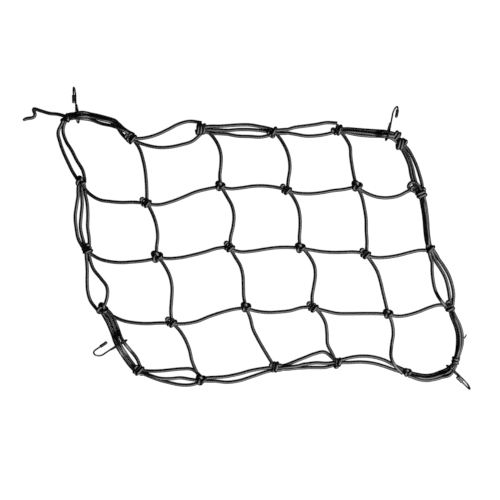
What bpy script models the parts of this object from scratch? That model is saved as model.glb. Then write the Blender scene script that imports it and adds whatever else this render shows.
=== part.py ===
"""Elastic cargo net, laid out flat on the floor, with four wire hooks.

The net is 4 mm elastic cord: four column cords and three row cords cross a border bundle of two
to three strands, and every crossing is tied in a ridged knot. A closed eye of each hook rings the
border bundle near a corner, and a soft sleeve covers the tip of its open J.

Tables are in millimetres, seen from above: +X to the right, +Y away, +Z up from the floor.
"""

import math
from typing import NamedTuple

import bmesh
import bpy
from mathutils import Matrix, Vector

MM = 0.001
CENTRE = (-0.32, 0.62)        # middle of the finished net's box, in the tables' frame

# The cord, drawn with six flat sides inside its round outline
CORD_DIAMETER = 4.0
CORD_SIDES = 6
CORD_RADIUS = CORD_DIAMETER / 2
CORD_REST = CORD_RADIUS * math.cos(math.pi / CORD_SIDES) + 0.3   # a strand's middle lies this high between two knots
SAG_ALLOWED = 0.85             # how far a straight facet may stray from the cord's curve
SAG_NEAR_WIRE = 0.3            # where the cord must clear a hook's wire
RISE_WEIGHT = 0.3              # a stray in height counts for this much
FINE_STEPS = 48                # points on a strand before the needless ones are left out
SIDE_BY_SIDE = 4.3             # neighbours in a bundle lie at least this far apart
GATHERED = 2.4                 # and this far apart where they enter a knot
GATHER_RUN = 14.0              # the bundle opens out over this distance

# A knot: two ridges, which are the turns of the cord, round the strands it grips
KNOT_MIDDLE = 4.5              # height of the middle of a knot
KNOT_WIDTH = 12.4              # along the turns
KNOT_SIDES = 8
KNOT_PROFILE = ((0.0, -4.5), (0.6, -4.5), (1.0, -3.2), (1.0, -1.4), (0.76, 0.0), (1.0, 1.4),
                (1.0, 3.2), (0.6, 4.5), (0.0, 4.5))   # part of full size, and across the turns
STRAND_START = 1.5             # a strand starts this far from its knot's middle

# A hook, drawn in its own plane: u along the shank from the eye's far end, w up from the shank
WIRE_DIAMETER = 2.0
WIRE_SIDES = 8
LEG_SPACING = 13.0
BEND_STEPS = 7
EYE_CURVE = ((22.0, -2.1), (21.1, -5.2), (17.2, -7.6), (11.0, -9.6), (5.0, -11.3), (1.5, -9.5),
             (0.0, -5.2), (1.2, -1.7), (5.0, 0.0))   # from the end under the shank, round to the shank
EYE_STEPS = 16
EYE_UNDER = 9                 # the first of those points, which run under the bundle
EYE_CLEARANCE = 0.6           # between the wire and the strands that lie on it
LIFT_REACH = 11.0             # how far along the bundle that lift dies away

# A sleeve: a soft blind tube over the tip of the wire
SLEEVE_LENGTH = 10.5
SLEEVE_RADIUS = 1.9
SLEEVE_BORE_RADIUS = 1.4
SLEEVE_BORE_DEPTH = 9.0
SLEEVE_SIDES = 8


class Knot(NamedTuple):
    """A knot's place, the direction of its turns as seen from above, and its width along them."""

    x: float
    y: float
    turn_angle: float
    width: float = KNOT_WIDTH


class Strand(NamedTuple):
    """A strand between two knots: how far it bows to its left at equal steps, and lifts there."""

    start: str
    end: str
    bows: tuple
    lifts: tuple = ()


class Hook(NamedTuple):
    """A hook, bent by hand, so that no two are alike.

    It has the place of its eye's far end, the way its shank points, the slope at which the shank
    comes down from the bundle, the lengths of shank and tip, the lean of tip and eye to the left,
    and the turn of its wire's sides that sets one of them square to the rail in its bend.
    """

    name: str
    x: float
    y: float
    direction: float
    slope: float
    shank: float
    tip: float
    tip_lean: float
    eye_lean: float
    wire_turn: float


KNOTS = {
    "A0": Knot(-211.2, 141.8, 111), "A1": Knot(-133.5, 117.0, 64), "A2": Knot(-51.3, 129.0, 93),
    "A3": Knot(31.5, 126.0, 76), "A4": Knot(107.5, 128.0, 82), "A5": Knot(176.7, 119.8, 60),
    "F5": Knot(181.0, 110.5, 85, 15.0), "B0": Knot(-194.5, 67.5, 40), "B1": Knot(-118.4, 42.3, 64),
    "B2": Knot(-30.5, 61.5, 55), "B3": Knot(46.5, 57.5, 60), "B4": Knot(129.0, 63.0, 60),
    "B5": Knot(206.0, 53.2, 30, 13.5), "C0": Knot(-187.0, -13.6, 27), "C1": Knot(-106.0, -20.5, 65),
    "C2": Knot(-20.5, -10.0, 60), "C3": Knot(63.0, -10.5, 60), "C4": Knot(139.5, -18.0, 60),
    "C5": Knot(216.5, -13.5, 53), "D0": Knot(-170.0, -82.5, 30), "D1": Knot(-88.5, -98.5, 66),
    "D2": Knot(-0.5, -81.0, 60), "D3": Knot(77.5, -80.5, 60), "D4": Knot(166.5, -88.5, 60),
    "D5": Knot(239.5, -81.0, 32), "E0": Knot(-125.5, -155.5, 56), "E1": Knot(-53.0, -166.0, 65),
    "E2": Knot(34.5, -151.5, 88), "E3": Knot(105.5, -145.5, 97), "E4": Knot(189.5, -157.5, 63),
    "E5": Knot(245.5, -143.5, 170, 11.5),
}

COLUMN_STRANDS = (
    Strand("A1", "B1", (0.5, 5.3, 6.7, 6.7, 5.5, 3.6, 1.0)),
    Strand("B1", "C1", (1.0, 4.3, 6.4, 6.9, 5.7, 2.3, 0.2)),
    Strand("C1", "D1", (1.5, 7.0, 10.2, 9.8, 6.3, 2.4, 0.5)),
    Strand("D1", "E1", (0.5, 4.2, 5.2, 3.9, 0.6, -0.7, -0.5)),
    Strand("A2", "B2", (2.0, 8.5, 11.6, 11.3, 7.6, 2.6, 0.5)),
    Strand("B2", "C2", (0.5, 5.5, 10.0, 10.8, 8.2, 3.6, 0.6)),
    Strand("C2", "D2", (0.5, 3.5, 6.8, 6.5, 3.6, 0.7, 0.0)),
    Strand("D2", "E2", (0.0, -1.1, -3.9, -4.0, -3.3, -2.2, -1.0)),
    Strand("A3", "B3", (1.5, 7.0, 10.5, 11.5, 9.8, 5.4, 1.5)),
    Strand("B3", "C3", (1.5, 6.7, 9.0, 8.4, 5.7, 2.0, 0.0)),
    Strand("C3", "D3", (2.5, 8.7, 12.1, 11.0, 6.7, 2.1, 0.5)),
    Strand("D3", "E3", (2.0, 5.9, 6.8, 3.5, -0.8, -0.2, 0.0)),
    Strand("A4", "B4", (1.5, 5.5, 7.5, 4.7, 2.6, 1.0, 0.0)),
    Strand("B4", "C4", (0.5, 4.8, 6.2, 6.5, 5.0, 4.0, 1.5)),
    Strand("C4", "D4", (0.5, 4.2, 6.1, 5.3, 3.5, 1.9, 0.0)),
    Strand("D4", "E4", (1.0, 1.1, -1.5, -7.6, -12.8, -11.5, -5.5), (0, 0, 0, 0, 1, 1, 0)),
)

ROW_STRANDS = (
    Strand("B0", "B1", (-2.5, -10.6, -13.7, -11.7, -8.4, -3.7, -0.5)),
    Strand("B1", "B2", (-1.5, -5.5, -5.0, -2.7, 0.0, 0.5, 0.0)),
    Strand("B2", "B3", (-1.0, -2.0, 0.0, 2.5, 3.4, 2.6, 0.5)),
    Strand("B3", "B4", (-1.0, -4.8, -6.4, -6.0, -4.5, -3.8, -1.5)),
    Strand("B4", "B5", (-2.0, -7.5, -10.5, -9.9, -5.7, 2.3, 1.0)),
    Strand("C0", "C1", (-1.5, -8.5, -11.0, -11.0, -9.0, -6.5, -2.5)),
    Strand("C1", "C2", (-1.5, -4.6, -5.1, -3.9, -2.0, 0.5, 0.6)),
    Strand("C2", "C3", (-2.0, -5.3, -4.3, -2.0, -0.1, 0.4, -0.3)),
    Strand("C3", "C4", (-0.5, -1.3, -2.1, -1.8, -0.4, 1.2, 1.0)),
    Strand("C4", "C5", (-1.5, -4.9, -5.2, -3.9, -1.4, 0.6, 0.0)),
    Strand("D0", "D1", (-1.5, -5.9, -8.9, -8.7, -6.8, -3.4, -0.5)),
    Strand("D1", "D2", (-1.5, -4.5, -4.7, -1.9, 0.0, 0.9, 0.0)),
    Strand("D2", "D3", (-1.0, -4.4, -5.9, -5.4, -4.0, -0.5, 0.5)),
    Strand("D3", "D4", (0.0, -2.8, -4.7, -3.7, -2.2, -0.9, 0.0)),
    Strand("D4", "D5", (-1.0, -4.0, -3.5, -1.0, 2.5, 4.5, 2.0)),
)

BORDER_STRANDS = (
    Strand("A0", "A1", (3.0, 11.3, 13.5, 14.6, 14.3, 8.5, 5.0)),
    Strand("A0", "A1", (0.5, 4.0, 6.8, 6.4, 7.4, 6.6, 3.0), (0, 0, 0, 0, 1, 1, 0)),
    Strand("A0", "A1", (1.5, 6.5, 10.2, 11.0, 11.2, 1.5, -5.5), (0, 0.7, 0.8, 0.8, 0.2, 0, 0)),
    Strand("A1", "A2", (0.5, -0.3, 1.3, 5.3, 10.0, 11.4, 7.5)),
    Strand("A1", "A2", (-1.5, -8.7, -13.6, -15.2, -14.4, -12.0, -3.0)),
    Strand("A2", "A3", (1.0, 3.5, 5.0, 6.5, 7.0, 5.0, 1.5)),
    Strand("A2", "A3", (0.0, -0.5, -0.5, 1.0, 1.5, 1.0, 0.5)),
    Strand("A2", "A3", (-1.5, -3.7, -4.6, -6.6, -6.6, -6.7, -3.0)),
    Strand("A3", "A4", (0.5, 1.2, 4.4, 5.8, 7.2, 9.0, 8.0)),
    Strand("A3", "A4", (-0.5, -1.2, -3.5, -6.0, -6.0, -4.3, -1.0)),
    Strand("A4", "A5", (1.0, 2.8, 3.3, 3.8, 4.4, 4.4, 2.5)),
    Strand("A4", "A5", (0.0, -0.2, 0.0, 0.2, 0.0, 0.0, 0.0), (0, 0.7, 0.7, 0.7, 0.7, 0.7, 0)),
    Strand("A4", "F5", (-0.5, -0.4, 0.1, 1.9, 4.3, 5.0, 0.5)),
    Strand("A5", "B5", (-0.5, -0.3, 0.6, 0.2, -2.6, -3.8, -2.0)),
    Strand("F5", "B5", (1.5, 2.9, 3.0, 2.1, 0.0, -1.0, 0.0)),
    Strand("F5", "B5", (3.0, 6.3, 7.6, 7.6, 6.6, 5.0, 1.5)),
    Strand("B5", "C5", (-1.5, -1.6, -1.4, -1.9, -2.8, -3.0, -1.5)),
    Strand("B5", "C5", (0.0, 0.4, 0.4, 0.2, -0.4, -0.8, -0.5), (0, 0.7, 0.7, 0.8, 0.8, 0.8, 0)),
    Strand("B5", "C5", (1.5, 2.7, 2.6, 2.0, 0.8, 0.4, 0.5)),
    Strand("C5", "D5", (-0.5, -2.2, -6.0, -8.7, -9.8, -8.0, -3.0), (0, 0, 0, 0, 0, 1, 0)),
    Strand("C5", "D5", (1.5, 5.4, 9.0, 11.0, 10.8, 8.6, 2.5)),
    Strand("C5", "D5", (0.5, 1.0, 4.0, 6.0, 5.5, 3.5, 1.0)),
    Strand("D5", "E5", (1.0, 5.0, 9.0, 11.0, 10.5, 7.0, 2.0)),
    Strand("D5", "E5", (0.0, 3.0, 6.0, 7.5, 7.0, 4.5, 0.5), (0, 1, 1, 1, 1, 1, 0)),
    Strand("D5", "E5", (-0.5, 0.8, 3.9, 5.6, 5.0, 3.0, -0.5)),
    Strand("E4", "E5", (-3.0, -10.2, -14.4, -15.4, -15.2, -14.0, -4.0)),
    Strand("E4", "E5", (-1.5, -7.0, -11.2, -12.2, -11.2, -9.0, -1.5), (0, 1, 1, 1, 1, 1, 0)),
    Strand("E4", "E5", (0.5, -4.3, -8.4, -9.6, -8.3, -5.8, 0.0)),
    Strand("E3", "E4", (1.0, 7.5, 11.5, 12.5, 10.5, 5.5, 1.5)),
    Strand("E3", "E4", (0.0, 1.9, 4.5, 5.2, 3.5, 0.7, -1.2)),
    Strand("E2", "E3", (0.5, 1.9, 5.4, 9.0, 12.4, 13.0, 1.5)),
    Strand("E2", "E3", (-0.5, -0.3, -0.2, 1.0, 1.5, 0.0, -0.5), (0, 0.6, 0.6, 0, 0, 0, 0)),
    Strand("E2", "E3", (-1.0, -3.0, -2.8, -3.0, -4.0, -4.6, -1.5)),
    Strand("E1", "E2", (1.0, 0.3, -0.9, -0.4, 1.2, 1.4, 0.5)),
    Strand("E1", "E2", (-0.5, -3.8, -7.8, -8.2, -6.0, -3.5, -1.5)),
    Strand("E0", "E1", (0.5, 1.6, 3.6, 6.6, 9.5, 10.5, 3.0)),
    Strand("E0", "E1", (-0.5, -2.8, -4.8, -3.8, -1.2, -1.3, -1.0), (0, 1, 1, 0.5, 0, 0, 0)),
    Strand("E0", "E1", (-1.5, -4.8, -7.4, -8.7, -9.4, -7.8, -2.5)),
    Strand("D0", "E0", (0.5, -0.4, -4.0, -7.0, -7.8, -7.0, -4.2)),
    Strand("D0", "E0", (0.5, 1.0, -0.5, -3.1, -3.6, -3.0, -1.5)),
    Strand("D0", "E0", (1.5, 4.2, 3.8, 1.8, 2.8, 4.4, 2.0)),
    Strand("C0", "D0", (-1.0, -4.0, -6.3, -9.4, -11.5, -10.8, -5.5)),
    Strand("C0", "D0", (0.0, 0.0, 1.5, 7.0, 11.6, 9.0, 1.5)),
    Strand("B0", "C0", (-1.5, -4.5, -8.0, -11.0, -11.0, -9.5, -3.0)),
    Strand("B0", "C0", (-0.5, -1.0, -1.5, -4.0, -6.0, -4.5, -1.0)),
    Strand("B0", "C0", (1.5, 3.0, 4.5, 4.0, 2.5, 3.0, 2.0)),
    Strand("A0", "B0", (-2.5, -13.5, -14.3, -12.9, -10.3, -7.2, -2.5)),
    Strand("A0", "B0", (-1.5, -7.8, -7.3, -3.0, 0.2, 4.4, 4.6)),
)

# Short free runs of cord: x, y and height of the points they pass through
TAIL = ((-213.0, 144.0, 4.4), (-222.0, 146.5, 3.0), (-231.5, 147.5, 2.4), (-242.0, 150.5, 2.4),
        (-249.8, 153.0, 2.5), (-250.6, 151.2, 2.5), (-249.0, 147.0, 2.4), (-249.6, 144.0, 2.4),
        (-253.0, 142.2, 2.4), (-258.0, 141.6, 2.4), (-263.2, 139.6, 2.4))
LOOP_OVER = ((192.0, 58.0, 3.0), (190.5, 62.0, 3.4), (193.5, 66.2, 4.2), (198.0, 66.4, 4.6),
             (202.0, 62.5, 4.6), (205.0, 57.0, 4.5))
LOOP_UNDER = ((191.5, 58.5, 3.0), (197.0, 56.0, 2.8), (202.0, 54.0, 3.0), (206.0, 53.0, 4.0))
CUT_END = ((252.6, -115.0, 3.4), (256.0, -117.0, 3.6), (258.8, -112.4, 3.8))
CUT_END_RADIUS = 0.9

HOOKS = (
    Hook("upper_left", -198.8, 138.7, 94.7, 24.0, 32.7, 15.8, 3.2, 8.0, -4.57),
    Hook("upper_right", 165.4, 118.0, 76.9, 24.5, 32.4, 9.2, -16.0, -8.0, 17.17),
    Hook("lower_left", -143.5, -119.2, 214.0, 23.0, 33.2, 17.1, -47.1, -9.0, 0.15),
    Hook("lower_right", 238.3, -149.8, -43.3, 28.0, 29.4, 21.0, -16.8, 9.0, 15.54),
)


def smooth(values, place):
    """Read a row of values at a place from 0 to 1, on a smooth curve through them all."""
    steps = len(values) - 1
    at = min(max(place, 0.0), 1.0) * steps
    left = min(int(at), steps - 1)
    t = at - left
    a, b = values[left], values[left + 1]
    before = values[left - 1] if left > 0 else 2 * a - b
    after = values[left + 2] if left + 2 <= steps else 2 * b - a
    return 0.5 * (2 * a + (b - before) * t + (2 * before - 5 * a + 4 * b - after) * t ** 2
                  + (3 * a - before - 3 * b + after) * t ** 3)


def smooth_route(points, steps):
    """Points at equal steps on a smooth curve through a few given ones."""
    rows = tuple(zip(*points))
    return [Vector([smooth(row, i / steps) for row in rows]) for i in range(steps + 1)]


def hook_axes(hook):
    """The unit vectors of a hook: along its shank, to the left of it, and up from it."""
    turn, slope = math.radians(hook.direction), math.radians(hook.slope)
    level = Vector((math.cos(turn), math.sin(turn), 0))
    along = level * math.cos(slope) - Vector((0, 0, math.sin(slope)))
    left = Vector((-math.sin(turn), math.cos(turn), 0))
    return along, left, along.cross(left)


def hook_place(hook, u, w):
    """A point of the hook's plane in the tables' frame, with its far end at height zero."""
    along, left, up = hook_axes(hook)
    lean = math.radians(hook.tip_lean if w > 0 else hook.eye_lean)
    return Vector((hook.x, hook.y, 0)) + along * u + (up * math.cos(lean) + left * math.sin(lean)) * w


def hook_route(hook):
    """The middle of a hook's wire, from the end under the shank to the tip, resting on the floor."""
    flat = list(smooth_route(EYE_CURVE, EYE_STEPS))
    radius = LEG_SPACING / 2
    for i in range(BEND_STEPS + 1):
        turn = math.pi * i / BEND_STEPS
        flat.append(Vector((hook.shank + radius * math.sin(turn), radius * (1 - math.cos(turn)))))
    flat.append(Vector((hook.shank - hook.tip, LEG_SPACING)))
    route = [hook_place(hook, *point) for point in flat]
    drop = min(point.z for point in route) - WIRE_DIAMETER / 2
    return [point - Vector((0, 0, drop)) for point in route]


def under_wires():
    """Each hook's far end, level axes, and the lower side of its eye as (distance, height)."""
    found = []
    for hook in HOOKS:
        along, left, _ = hook_axes(hook)
        level = Vector((along.x, along.y)).normalized()
        place = Vector((hook.x, hook.y))
        side = [((point.xy - place).dot(level), point.z) for point in hook_route(hook)[:EYE_UNDER]]
        found.append((place, level, left.xy, sorted(side)))
    return found


UNDER_WIRES = under_wires()


def lift_at(flat):
    """How far the eye of a hook raises the strands that cross it at this place."""
    most = 0.0
    for place, level, left, side in UNDER_WIRES:
        distance, aside = (flat - place).dot(level), (flat - place).dot(left)
        if side[0][0] - 4 < distance < side[-1][0] + 4 and abs(aside) < 3 * LIFT_REACH:
            pairs = zip(side, side[1:])
            height = side[0][1] if distance < side[0][0] else side[-1][1]
            for (a, low), (b, high) in pairs:
                if a <= distance <= b and b > a:
                    height = low + (high - low) * (distance - a) / (b - a)
            lift = height + WIRE_DIAMETER / 2 + EYE_CLEARANCE + CORD_RADIUS - CORD_REST
            most = max(most, lift * math.exp(-((aside / LIFT_REACH) ** 4)))
    return most


def table_point(x, y, z):
    """A point of the tables as a point of the model."""
    return Vector((x - CENTRE[0], y - CENTRE[1], z)) * MM


def thinned(points, slack):
    """The fewest of these points whose straight runs stay within slack of the rest."""
    first, last = points[0], points[-1]
    run = last - first
    worst, index = 0.0, 0
    for i, point in enumerate(points[1:-1], 1):
        t = max(0.0, min(1.0, (point - first).dot(run) / run.length_squared))
        off = point - first - run * t
        distance = Vector((off.x, off.y, off.z * RISE_WEIGHT)).length
        if distance > worst:
            worst, index = distance, i
    if worst <= slack:
        return [first, last]
    return thinned(points[:index + 1], slack)[:-1] + thinned(points[index:], slack)


def bundles():
    """The strands in groups that run between the same two knots, each from left to right."""
    groups = {}
    for strand in COLUMN_STRANDS + ROW_STRANDS + BORDER_STRANDS:
        groups.setdefault((strand.start, strand.end), []).append(strand)
    return groups


def spread(offsets, heights, from_knot):
    """Part the strands of a bundle that lie at one height at this place, so they don't cut."""
    least = SIDE_BY_SIDE - (SIDE_BY_SIDE - GATHERED) * max(0.0, 1 - from_knot / GATHER_RUN) ** 2
    order = sorted(range(len(offsets)), key=lambda i: offsets[i])
    parted = list(offsets)
    for _ in range(6):
        for a, b in zip(order, order[1:]):
            short = least - (parted[b] - parted[a])
            if short > 0 and abs(heights[a] - heights[b]) < CORD_RADIUS:
                parted[a] -= short / 2
                parted[b] += short / 2
    return parted


def bundle_routes(strands):
    """The points of each strand of a bundle, from inside one knot to inside the next."""
    start, end = KNOTS[strands[0].start], KNOTS[strands[0].end]
    chord = Vector((end.x - start.x, end.y - start.y))
    left = Vector((-chord.y, chord.x)).normalized()
    inset = STRAND_START / chord.length
    routes = [[] for _ in strands]
    for i in range(FINE_STEPS + 1):
        place = inset + (1 - 2 * inset) * i / FINE_STEPS
        from_knot = min(place, 1 - place) * chord.length
        lifts = [CORD_DIAMETER * 0.9 * smooth(s.lifts or (0, 0), place) for s in strands]
        offsets = spread([smooth(s.bows, place) for s in strands], lifts, from_knot)
        climb = max(0.0, 1 - from_knot / KNOT_WIDTH) ** 2
        for route, offset, lift in zip(routes, offsets, lifts):
            flat = Vector((start.x, start.y)) + chord * place + left * offset
            height = CORD_REST + lift_at(flat) + lift
            height += climb * max(0.0, KNOT_MIDDLE - height)
            route.append(table_point(flat.x, flat.y, height))
    lifted = max(lift_at(route[FINE_STEPS // 2 + i].xy / MM + Vector(CENTRE)) for route in routes
                 for i in (-12, 0, 12)) > 0.3
    return [thinned(route, (SAG_NEAR_WIRE if lifted else SAG_ALLOWED) * MM) for route in routes]


def knot_place(knot):
    """The matrix that lays a knot's turned shape on its side, across its turns, on the floor."""
    to_flat = 1 / math.cos(math.pi / KNOT_SIDES)
    return (Matrix.Translation(table_point(knot.x, knot.y, KNOT_MIDDLE))
            @ Matrix.Rotation(math.radians(knot.turn_angle), 4, "Z")
            @ Matrix.Diagonal((knot.width / 2 * to_flat, 1, KNOT_MIDDLE * to_flat, 1))
            @ Matrix.Rotation(math.pi / 2, 4, "X")
            @ Matrix.Rotation(math.pi / KNOT_SIDES, 4, "Z"))


def linked(data, name, collection):
    """A new object with this data, in this collection."""
    piece = bpy.data.objects.new(name, data)
    collection.objects.link(piece)
    return piece


def as_mesh(piece, name, collection):
    """The evaluated shape of an object as a mesh object of its own, with its doubles welded."""
    shape = piece.evaluated_get(bpy.context.evaluated_depsgraph_get())
    mesh = bpy.data.meshes.new_from_object(shape)
    mesh.transform(piece.matrix_world)
    edit = bmesh.new()
    edit.from_mesh(mesh)
    bmesh.ops.remove_doubles(edit, verts=edit.verts, dist=1e-6)
    bmesh.ops.recalc_face_normals(edit, faces=edit.faces)
    edit.to_mesh(mesh)
    edit.free()
    bpy.data.objects.remove(piece)
    return linked(mesh, name, collection)


def tube(name, points, radius, sides, collection, turn=0.0):
    """A closed round bar along points, its sides turned by some degrees, as a mesh."""
    curve = bpy.data.curves.new(name, "CURVE")
    curve.dimensions = "3D"
    curve.bevel_depth = radius * MM
    curve.bevel_resolution = (sides - 4) // 2
    curve.use_fill_caps = True
    spline = curve.splines.new("POLY")
    spline.points.add(len(points) - 1)
    for slot, point in zip(spline.points, points):
        slot.co = (*point, 1.0)
        slot.tilt = math.radians(turn)
    piece = linked(curve, name, collection)
    bpy.context.view_layer.update()
    return as_mesh(piece, name, collection)


def turned(name, profile, sides, collection):
    """A closed turned solid on +Z from its outline of (radius, height), bottom to top."""
    edit = bmesh.new()
    line = [edit.verts.new((radius * MM, 0, height * MM)) for radius, height in reversed(profile)]
    for a, b in zip(line, line[1:]):
        edit.edges.new((a, b))
    mesh = bpy.data.meshes.new(name)
    edit.to_mesh(mesh)
    edit.free()
    piece = linked(mesh, name, collection)
    screw = piece.modifiers.new("Turn", "SCREW")
    screw.steps = screw.render_steps = sides
    screw.use_merge_vertices = True
    screw.merge_threshold = 1e-6
    bpy.context.view_layer.update()
    return as_mesh(piece, name, collection)


def material(name, colour, roughness, metallic):
    """A plain finish."""
    made = bpy.data.materials.new(name)
    made.use_nodes = True
    shader = made.node_tree.nodes["Principled BSDF"]
    shader.inputs["Base Color"].default_value = (*colour, 1.0)
    shader.inputs["Roughness"].default_value = roughness
    shader.inputs["Metallic"].default_value = metallic
    return made


def fused(name, pieces, collection):
    """One closed body from pieces that overlap."""
    group = bpy.data.collections.new("to_fuse")
    for piece in pieces[1:]:
        group.objects.link(piece)
    union = pieces[0].modifiers.new("Fuse", "BOOLEAN")
    union.operation = "UNION"
    union.solver = "MANIFOLD"
    union.operand_type = "COLLECTION"
    union.collection = group
    bpy.context.view_layer.update()
    whole = as_mesh(pieces[0], name, collection)
    for piece in pieces[1:]:
        bpy.data.objects.remove(piece)
    bpy.data.collections.remove(group)
    return whole


def finished(piece, finish):
    """Give a piece its finish and smooth shading between sharp edges."""
    piece.data.materials.clear()
    piece.data.materials.append(finish)
    piece.data.shade_smooth()
    piece.data.set_sharp_from_angle(angle=math.radians(40))
    return piece


def make_net(collection, finish):
    """The knotted cord: every strand, loop, knot and free end as one body."""
    pieces = []
    ridged = turned("ridged", KNOT_PROFILE, KNOT_SIDES, collection)
    for name, knot in KNOTS.items():
        lump = linked(ridged.data.copy(), f"knot_{name}", collection)
        lump.data.transform(knot_place(knot))
        pieces.append(lump)
    bpy.data.objects.remove(ridged)
    for (start, end), strands in bundles().items():
        for i, route in enumerate(bundle_routes(strands)):
            pieces.append(tube(f"strand_{start}_{end}_{i}", route, CORD_RADIUS, CORD_SIDES, collection))
    for name, points in (("tail", TAIL), ("loop_over", LOOP_OVER), ("loop_under", LOOP_UNDER)):
        route = [table_point(*point) for point in smooth_route(points, 4 * len(points))]
        pieces.append(tube(name, thinned(route, SAG_ALLOWED * MM / 2), CORD_RADIUS, CORD_SIDES, collection))
    stub = [table_point(*point) for point in CUT_END]
    pieces.append(tube("cut_end", stub, CUT_END_RADIUS, CORD_SIDES, collection))
    return finished(fused("net", pieces, collection), finish)


def make_hook(hook, collection, finish):
    """One hook: a wire bent into a closed eye, a shank and an open J."""
    route = [table_point(*point) for point in hook_route(hook)]
    wire = tube(f"hook_{hook.name}", route, WIRE_DIAMETER / 2, WIRE_SIDES, collection, hook.wire_turn)
    return finished(wire, finish)


def make_sleeve(hook, collection, finish):
    """The soft sleeve over the tip of one hook: a blind bore, and a rounded closed end."""
    inner, end = SLEEVE_BORE_RADIUS, SLEEVE_LENGTH
    profile = ((0.0, end - SLEEVE_BORE_DEPTH), (inner, end - SLEEVE_BORE_DEPTH), (inner, end),
               (SLEEVE_RADIUS, end), (SLEEVE_RADIUS, 0.8), (SLEEVE_RADIUS * 0.6, 0.0), (0.0, 0.0))
    piece = turned(f"sleeve_{hook.name}", profile, SLEEVE_SIDES, collection)
    before, tip = hook_route(hook)[-2:]
    towards = (before - tip).normalized()
    start = tip - towards * (SLEEVE_LENGTH - SLEEVE_BORE_DEPTH + 0.3)
    place = Matrix.Translation(table_point(*start)) @ towards.to_track_quat("Z", "Y").to_matrix().to_4x4()
    piece.data.transform(place)
    return finished(piece, finish)


def main():
    """Build every piece of the net."""
    for old in list(bpy.data.objects):
        bpy.data.objects.remove(old)
    collection = bpy.data.collections.new("cargo_net")
    bpy.context.scene.collection.children.link(collection)
    make_net(collection, material("elastic_cord", (0.012, 0.012, 0.014), 0.6, 0.0))
    wire = material("hook_wire", (0.16, 0.16, 0.17), 0.3, 1.0)
    plastic = material("sleeve_plastic", (0.015, 0.015, 0.016), 0.35, 0.0)
    for hook in HOOKS:
        make_hook(hook, collection, wire)
        make_sleeve(hook, collection, plastic)


main()
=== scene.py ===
"""Looks of the elastic cargo net: braided cord, wound knots, wire hooks and their dipped tips.

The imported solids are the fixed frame. The strands, knots and hooks here lie where those solids
lie, drawn finer: round cord with a braided sheath for the six-sided bars, and turns of real cord
for the ridged lumps. Tables are in millimetres, seen from above: +X to the right, +Y away, and
+Z up from the floor.
"""

import logging
import math
from dataclasses import dataclass, field
from enum import Enum
from typing import Any, Iterator, NamedTuple, Sequence, Union

import bmesh
import bpy
from mathutils import Matrix, Vector

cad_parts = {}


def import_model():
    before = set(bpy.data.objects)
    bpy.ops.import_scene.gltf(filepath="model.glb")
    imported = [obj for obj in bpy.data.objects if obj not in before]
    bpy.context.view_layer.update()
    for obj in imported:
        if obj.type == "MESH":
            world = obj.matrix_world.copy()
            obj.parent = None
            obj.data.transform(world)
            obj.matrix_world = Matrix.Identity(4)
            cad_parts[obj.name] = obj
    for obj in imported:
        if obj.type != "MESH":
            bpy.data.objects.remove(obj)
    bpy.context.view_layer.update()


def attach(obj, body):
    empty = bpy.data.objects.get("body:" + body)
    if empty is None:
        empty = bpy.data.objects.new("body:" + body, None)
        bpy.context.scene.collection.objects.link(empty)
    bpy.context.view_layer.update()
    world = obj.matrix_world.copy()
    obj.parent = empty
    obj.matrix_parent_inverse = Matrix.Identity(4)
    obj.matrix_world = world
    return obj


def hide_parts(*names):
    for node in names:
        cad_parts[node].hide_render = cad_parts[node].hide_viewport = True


LOG = logging.getLogger("cargo_net")
MM = 0.001
CENTRE = Vector((-0.32, 0.62, 0.0))     # middle of the finished net's box, in the tables' frame
Colour = tuple[float, float, float, float]


class Piece(Enum):
    """The names of the cord's pieces."""

    MESH_CORDS = "mesh_cords"
    BORDER_CORDS = "border_cords"
    MESH_KNOTS = "mesh_knots"
    BORDER_KNOTS = "border_knots"
    LOOSE_ENDS = "loose_ends"


class KnotForm(Enum):
    """How the cord is wound at a knot."""

    WOUND = "turns round the bundle, of which the front one stands over the others"
    TREFOIL = "an open overhand knot of three lobes"
    BANDED = "level turns round the bundle, side by side"


class Run(NamedTuple):
    """A stretch of cord or wire: the points it follows, and its thickness at each, as a share."""

    points: list[Vector]
    closed: bool = False
    shares: tuple[float, ...] = ()


@dataclass(frozen=True)
class Bight:
    """A short loop of cord that stands out beside a knot's turns.

    Its middle lies some millimetres along and across the turns, and it opens away from there.
    """

    along: float
    across: float
    radius: float = 1.4
    top: float = 5.2


@dataclass(frozen=True)
class Knot:
    """A knot's place, the direction of its turns as seen from above, and how it is wound.

    The front turn lies to the left of the knot's middle by some millimetres, or to its right
    where that is negative. An open knot may lie to one side of the place where its cords meet.
    """

    x: float
    y: float
    turn_angle: float
    form: KnotForm = KnotForm.WOUND
    bights: tuple[Bight, ...] = (Bight(1.3, 5.4),)
    turns: float = 2.0
    width: float = 12.2
    front: float = -2.7
    aside: tuple[float, float] = (0.0, 0.0)


@dataclass(frozen=True)
class Strand:
    """A strand between two knots: how far it bows to its left at equal steps, and lifts there."""

    start: str
    end: str
    bows: tuple[float, ...]
    lifts: tuple[float, ...] = (0, 0)


WOUND, TREFOIL, BANDED = KnotForm.WOUND, KnotForm.TREFOIL, KnotForm.BANDED

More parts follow.
